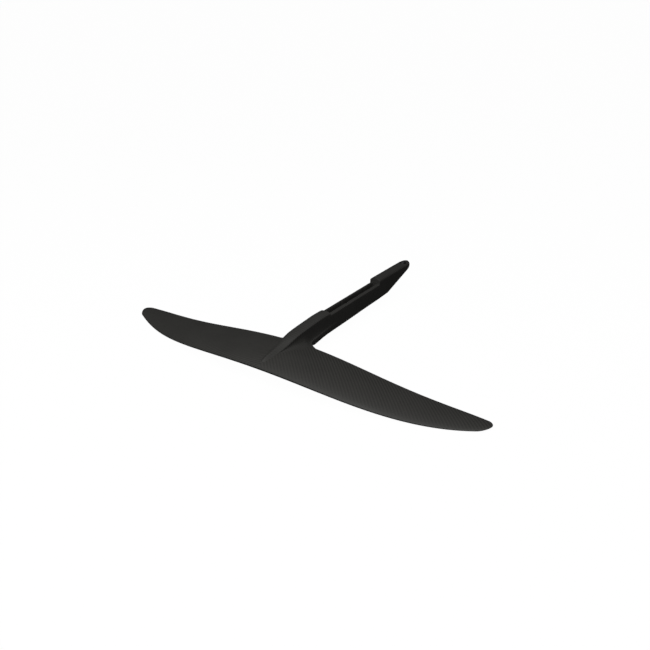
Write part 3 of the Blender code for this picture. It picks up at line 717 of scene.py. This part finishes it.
def laminate_material(name, colour, roughness, tow, tow_sheen, wear=0.5, turn=45.0,
                      edge_shade_strength=0.0):
    """Satin carbon laminate: twill under a thin matt resin, with painted sheen on the tows, handling
    marks, worn edges and, when asked, painted shade on the edges that turn down.
    """
    mat, tree, shader, place = new_material(name)
    mirror = tree.nodes.new("ShaderNodeVectorMath")
    mirror.operation = "ABSOLUTE"
    feed(tree, laid_cloth(tree, place), mirror.inputs[0])
    rotate = tree.nodes.new("ShaderNodeVectorRotate")
    rotate.rotation_type = "Z_AXIS"
    rotate.inputs["Angle"].default_value = math.radians(turn)
    feed(tree, mirror.outputs[0], rotate.inputs["Vector"])
    weave = place_group(tree, node_group("Twill weave", weave_group),
                        Vector=rotate.outputs[0], Tow_Width=tow)
    marks = place_group(tree, node_group("Handling marks", handling_group), Vector=place)
    edge = place_group(tree, node_group("Edge wear", edge_wear_group), Vector=place, Amount=wear)
    # Painted sheen: one tow direction gets a lighter copy of the laminate colour and the other a
    # darker copy.
    tows = blend_colour(tree, weave["Tow"], shade(colour, 1 - tow_sheen), shade(colour, 1 + tow_sheen))
    fibres = maths(tree, "MULTIPLY", weave["Fibre"], 0.5)
    body = blend_colour(tree, fibres, tows, shade(colour, 1.5))
    bloom = spread(tree, marks["Bloom"], 0.3, 0.7, 0.0, 0.30)
    body = blend_colour(tree, bloom, body, shade(colour, 1.6))
    body = blend_colour(tree, maths(tree, "MULTIPLY", marks["Scuff"], 0.25), body, shade(colour, 4.0))
    body = blend_colour(tree, edge["Mask"], body, shade(colour, 3.0))
    # Painted shade: the edge faces that turn downwards are darkened towards near black.
    if edge_shade_strength:
        body = blend_colour(tree, maths(tree, "MULTIPLY", painted_edge_shade(tree), 0.8 * edge_shade_strength), body,
                            shade(colour, 0.12))
    tree.links.new(body, shader.inputs["Base Color"])
    rough = spread(tree, marks["Bloom"], 0.3, 0.7, roughness - 0.04, roughness + 0.05)
    rough = maths(tree, "ADD", rough, maths(tree, "MULTIPLY", weave["Tow"], 0.10))
    if edge_shade_strength:
        rough = maths(tree, "ADD", rough, maths(tree, "MULTIPLY", painted_edge_shade(tree), 0.3))
    rough = maths(tree, "ADD", rough, maths(tree, "MULTIPLY", marks["Scuff"], 0.10))
    tree.links.new(rough, shader.inputs["Roughness"])
    relief = maths(tree, "ADD", weave["Height"], maths(tree, "MULTIPLY", weave["Fibre"], 0.4))
    bump(tree, relief, 0.6, 0.00008, shader)
    shader.inputs["Specular IOR Level"].default_value = 0.4
    return mat


def cut_laminate_material():
    """Machined solid laminate: layers of plies showing as fine level lines."""
    mat, tree, shader, place = new_material("Machined laminate")
    colour = (0.016, 0.016, 0.0155, 1.0)
    plies = noise(tree, stretched(tree, place, (25.0, 25.0, 3200.0)), 1.0, 2.0)
    marks = place_group(tree, node_group("Handling marks", handling_group), Vector=place)
    body = blend_colour(tree, spread(tree, plies, 0.35, 0.65, 0.0, 1.0),
                        shade(colour, 0.8), shade(colour, 1.5))
    tree.links.new(body, shader.inputs["Base Color"])
    tree.links.new(spread(tree, marks["Bloom"], 0.3, 0.7, 0.48, 0.60), shader.inputs["Roughness"])
    bump(tree, plies, 0.3, 0.00004, shader)
    return mat


def unidirectional_material():
    """Pultruded carbon: straight fibres along the span."""
    mat, tree, shader, place = new_material("Unidirectional carbon")
    colour = (0.022, 0.022, 0.023, 1.0)
    fibres = noise(tree, stretched(tree, place, (30.0, 5200.0, 5200.0)), 1.0, 3.0)
    body = blend_colour(tree, spread(tree, fibres, 0.3, 0.7, 0.0, 1.0),
                        shade(colour, 0.7), shade(colour, 1.9))
    tree.links.new(body, shader.inputs["Base Color"])
    tree.links.new(spread(tree, fibres, 0.3, 0.7, 0.30, 0.42), shader.inputs["Roughness"])
    bump(tree, fibres, 0.4, 0.00003, shader)
    return mat


def foam_material():
    """Rigid closed cell foam, with small open cells where it was sanded."""
    mat, tree, shader, place = new_material("Rigid foam")
    cells = tree.nodes.new("ShaderNodeTexVoronoi")
    feed(tree, place, cells.inputs["Vector"])
    cells.inputs["Scale"].default_value = 1400.0
    depth = cells.outputs["Distance"]
    # Painted shade: each open cell is coloured darker towards its middle, where the bump makes it
    # deepest.
    body = blend_colour(tree, spread(tree, depth, 0.0, 0.7, 0.0, 1.0),
                        (0.48, 0.41, 0.30, 1.0), (0.70, 0.62, 0.49, 1.0))
    tree.links.new(body, shader.inputs["Base Color"])
    tree.links.new(spread(tree, depth, 0.0, 0.7, 0.95, 0.80), shader.inputs["Roughness"])
    bump(tree, depth, 0.6, 0.0002, shader)
    return mat


def blackened_steel_material(colour):
    """Turned steel, chemically blackened, rubbed back to metal on its edges."""
    mat, tree, shader, place = new_material("Blackened steel")
    rings = noise(tree, stretched(tree, place, (60.0, 60.0, 9000.0)), 1.0, 2.0)
    edge = place_group(tree, node_group("Edge wear", edge_wear_group), Vector=place, Amount=0.5)
    marks = place_group(tree, node_group("Handling marks", handling_group), Vector=place, Scale=3.0)
    body = blend_colour(tree, spread(tree, rings, 0.3, 0.7, 0.0, 1.0),
                        shade(colour, 0.75), shade(colour, 1.3))
    body = blend_colour(tree, edge["Mask"], body, (0.05, 0.05, 0.052, 1.0))
    tree.links.new(body, shader.inputs["Base Color"])
    shader.inputs["Metallic"].default_value = 0.8
    tree.links.new(spread(tree, marks["Bloom"], 0.3, 0.7, 0.50, 0.62), shader.inputs["Roughness"])
    bump(tree, rings, 0.3, 0.00002, shader)
    return mat


# ---------------------------------------------------------------- operators
class FRONTWING_OT_wing(Operator):
    """Build the smooth wing surface from tip to tip"""
    bl_idname = "frontwing.wing"
    bl_label = "Wing Surface"

    def execute(self, context):
        settings = context.scene.front_wing
        surface = skin_mesh("wing_surface", wing_rings(), 60)
        dress(surface, laminate_material("Wing laminate", settings.laminate, settings.roughness,
                                         settings.tow, 0.46, wear=0.15, turn=0.0, edge_shade_strength=1.0))
        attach(surface, "root")
        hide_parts("wing_skin_upper", "wing_skin_lower", "trailing_edge_left",
                    "trailing_edge_right", "wing_tip_left", "wing_tip_right")
        return {"FINISHED"}


class FRONTWING_OT_boom(Operator):
    """Build the boom with its saddle, ledges, scarf and drilled holes"""
    bl_idname = "frontwing.boom"
    bl_label = "Boom"

    def execute(self, context):
        settings = context.scene.front_wing
        surface = skin_mesh("boom_surface", boom_rings(context.scene.front_wing_boom.rail_edge), 38)
        drill(surface, hole_cutters())
        dress(surface, laminate_material("Boom laminate", context.scene.front_wing_boom.laminate,
                                         settings.roughness, settings.tow, 0.26, wear=0.35,
                                         turn=45.0))
        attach(surface, "root")
        shells = [name for name in frame["nodes"] if "_shell_" in name]
        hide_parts("saddle_block", "tail_block", *shells)
        return {"FINISHED"}


class FRONTWING_OT_fittings(Operator):
    """Finish the three turned bushes"""
    bl_idname = "frontwing.fittings"
    bl_label = "Bushes"

    def execute(self, context):
        settings = context.scene.front_wing_fittings
        steel = blackened_steel_material(settings.steel)
        for name in BUSHES:
            node = frame["nodes"][name]
            dress(node, steel)
            edge = node.modifiers.new("broken edge", "BEVEL")
            edge.width = settings.edge
            edge.segments = 2
            edge.limit_method = "ANGLE"
            edge.angle_limit = math.radians(40)
        return {"FINISHED"}


class FRONTWING_OT_inside(Operator):
    """Finish the spar, the cores, the webs and the root block inside the skins"""
    bl_idname = "frontwing.inside"
    bl_label = "Inner Structure"

    def execute(self, context):
        finishes = {"unidirectional_carbon": unidirectional_material(), "foam": foam_material(),
                    "solid_laminate": cut_laminate_material()}
        outside = ("trailing_edge", "wing_tip", "saddle_block", "tail_block")
        for part in frame["record"]["subparts"]:
            if not part["node"].startswith(outside) and part["material_slot"] in finishes:
                dress(frame["nodes"][part["node"]], finishes[part["material_slot"]])
        return {"FINISHED"}


class FRONTWING_OT_stage(Operator):
    """Set the floor, the lights, the background and the camera"""
    bl_idname = "frontwing.stage"
    bl_label = "Stage"

    def execute(self, context):
        settings = context.scene.front_wing_stage
        scene = context.scene
        scene.view_settings.view_transform = "Standard"
        low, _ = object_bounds()
        mesh = bpy.data.meshes.new("Floor")
        bm = bmesh.new()
        bmesh.ops.create_grid(bm, x_segments=1, y_segments=1, size=150.0)
        bm.to_mesh(mesh)
        bm.free()
        floor = bpy.data.objects.new("Floor", mesh)
        scene.collection.objects.link(floor)
        floor.location.z = low[2] - settings.drop
        dress(floor, floor_material())
        floor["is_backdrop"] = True
        world = bpy.data.worlds.new("Studio")
        scene.world = world
        world.use_nodes = True
        tree = world.node_tree
        path = tree.nodes.new("ShaderNodeLightPath")
        seen = maths(tree, "ADD", path.outputs["Is Camera Ray"], path.outputs["Is Transmission Ray"])
        strength = blend_colour(tree, seen, (settings.fill,) * 3 + (1.0,), (1.0, 1.0, 1.0, 1.0))
        tree.links.new(strength, tree.nodes["Background"].inputs["Color"])
        add_area("Overhead", settings.key, 2.0, (0.34, -0.98, 1.62), (0.0, -0.05, 0.0))
        camera = bpy.data.objects.new("Camera", bpy.data.cameras.new("Camera"))
        scene.collection.objects.link(camera)
        camera.location = moved(CAMERA_PLACE)
        camera.rotation_euler = [math.radians(angle) for angle in CAMERA_TURN]
        camera.data.lens = CAMERA_LENS
        camera.data.sensor_width = 36.0
        scene.camera = camera
        return {"FINISHED"}


def floor_material():
    """Pale floor: white to the camera with a faint shadow, matt to the light, open from below."""
    mat, tree, shader, _ = new_material("Pale floor")
    shader.inputs["Roughness"].default_value = 0.9
    shader.inputs["Specular IOR Level"].default_value = 0.1
    white = tree.nodes.new("ShaderNodeEmission")
    path = tree.nodes.new("ShaderNodeLightPath")
    mixer = tree.nodes.new("ShaderNodeMixShader")
    pale = blend_colour(tree, path.outputs["Is Camera Ray"], (0.05, 0.05, 0.05, 1.0),
                        (0.95, 0.95, 0.95, 1.0))
    tree.links.new(pale, shader.inputs["Base Color"])
    tree.links.new(maths(tree, "MULTIPLY", path.outputs["Is Camera Ray"], 0.985), mixer.inputs[0])
    tree.links.new(shader.outputs[0], mixer.inputs[1])
    tree.links.new(white.outputs[0], mixer.inputs[2])
    below = tree.nodes.new("ShaderNodeMixShader")
    tree.links.new(tree.nodes.new("ShaderNodeNewGeometry").outputs["Backfacing"], below.inputs[0])
    tree.links.new(mixer.outputs[0], below.inputs[1])
    tree.links.new(tree.nodes.new("ShaderNodeBsdfTransparent").outputs[0], below.inputs[2])
    tree.links.new(below.outputs[0], tree.nodes["Material Output"].inputs["Surface"])
    return mat


def add_area(name, power, size, place, target):
    data = bpy.data.lights.new(name, "AREA")
    data.energy = power
    data.size = size
    lamp = bpy.data.objects.new(name, data)
    bpy.context.scene.collection.objects.link(lamp)
    lamp.location = place
    aim = lamp.location.copy()
    aim.x, aim.y, aim.z = (b - a for a, b in zip(place, target))
    lamp.rotation_euler = aim.to_track_quat("-Z", "Y").to_euler()


OPERATORS = (FRONTWING_OT_wing, FRONTWING_OT_boom, FRONTWING_OT_fittings, FRONTWING_OT_inside,
             FRONTWING_OT_stage)
SETTINGS = (("front_wing", WingSettings), ("front_wing_boom", BoomSettings),
            ("front_wing_fittings", FittingSettings), ("front_wing_stage", StageSettings))


class FRONTWING_PT_panel(Panel):
    """Sizes, finishes and steps of the front wing"""
    bl_label = "Front Wing"
    bl_idname = "FRONTWING_PT_panel"
    bl_space_type = "VIEW_3D"
    bl_region_type = "UI"
    bl_category = "Front Wing"

    def draw(self, context):
        for name, kind in SETTINGS:
            box = self.layout.box()
            for prop in kind.__annotations__:
                box.prop(getattr(context.scene, name), prop)
        for operator in OPERATORS:
            self.layout.operator(operator.bl_idname)


CLASSES = tuple(kind for _, kind in SETTINGS) + OPERATORS + (FRONTWING_PT_panel,)


def register():
    for cls in CLASSES:
        bpy.utils.register_class(cls)
    for name, kind in SETTINGS:
        setattr(bpy.types.Scene, name, PointerProperty(type=kind))


def unregister():
    for name, _ in SETTINGS:
        delattr(bpy.types.Scene, name)
    for cls in reversed(CLASSES):
        bpy.utils.unregister_class(cls)


def main():
    register()
    bpy.ops.frontwing.wing()
    bpy.ops.frontwing.boom()
    bpy.ops.frontwing.fittings()
    bpy.ops.frontwing.inside()
    bpy.ops.frontwing.stage()


if __name__ == "__main__":
    main()
